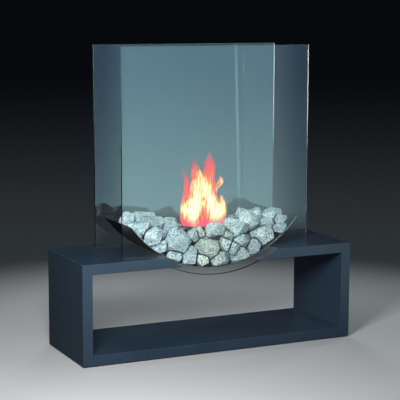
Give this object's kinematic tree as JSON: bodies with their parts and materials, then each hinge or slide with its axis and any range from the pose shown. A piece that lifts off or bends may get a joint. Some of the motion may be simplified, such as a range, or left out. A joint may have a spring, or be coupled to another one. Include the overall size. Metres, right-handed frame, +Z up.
{
  "type": "bioethanol fireplace",
  "caption": "Free-standing bioethanol fireplace: lacquered open box base, clear glass panes with arc tongues, a curved steel bowl of granite stones and a lift-out burner between them.",
  "frame": {"origin": "on the floor, under the middle of the base", "axes": "+X along the base to the right seen from the front, +Y from front to back, +Z up"},
  "size_m": [1.1, 0.37, 1.133],
  "materials": {
    "lacquered_board": "satin blue-grey anthracite lacquer on fibreboard",
    "beech": "planed, glued",
    "glide_plastic": "matt",
    "zinc_steel": "zinc plated",
    "clear_glass": "clear toughened, ground edges with a green cast",
    "silicone": "soft, dark translucent",
    "bowl_steel": "brushed stainless, bright cut edge",
    "heat_board": "matt mineral fibre board",
    "burner_steel": "brushed stainless, heat tinted",
    "ceramic_wool": "fibrous",
    "granite": "broken, rough, pale with dark specks"
  },
  "bodies": {
    "base": {"bottom_panel": "lacquered_board", "left_end_panel": "lacquered_board", "right_end_panel": "lacquered_board", "left_top_panel": "lacquered_board", "right_top_panel": "lacquered_board", "mitre_tenons": "beech", "floor_glides": "glide_plastic", "glide_nails": "zinc_steel", "front_groove_liners": "silicone", "rear_groove_liners": "silicone", "left_bowl_rest": "heat_board", "right_bowl_rest": "heat_board"},
    "front_glass": {"front_glass_pane": "clear_glass"},
    "rear_glass": {"rear_glass_pane": "clear_glass"},
    "bowl": {"fire_bowl": "bowl_steel", "burner_stand": "burner_steel", "front_left_stones": "granite", "front_middle_stones": "granite", "front_right_stones": "granite", "inner_front_stones": "granite", "left_heap_stones": "granite", "right_heap_stones": "granite", "rear_left_stones": "granite", "rear_middle_stones": "granite", "rear_right_stones": "granite"},
    "burner": {"burner_tank": "burner_steel", "ceramic_wool": "ceramic_wool", "burner_top_plate": "burner_steel", "shutter_guides": "burner_steel"},
    "burner_shutter": {"shutter": "burner_steel", "shutter_knob": "burner_steel"}
  },
  "joints": [
    {"name": "front_glass_lift", "type": "slide", "parent": "base", "child": "front_glass", "axis": [0, 0, 1], "range_m": [0, 0.1]},
    {"name": "rear_glass_lift", "type": "slide", "parent": "base", "child": "rear_glass", "axis": [0, 0, 1], "range_m": [0, 0.1]},
    {"name": "bowl_lift", "type": "slide", "parent": "base", "child": "bowl", "axis": [0, 0, 1], "range_m": [0, 0.09]},
    {"name": "burner_lift", "type": "slide", "parent": "bowl", "child": "burner", "axis": [0, 0, 1], "range_m": [0, 0.12]},
    {"name": "shutter_slide", "type": "slide", "parent": "burner", "child": "burner_shutter", "axis": [0, -1, 0], "range_m": [0, 0.042]}
  ]
}
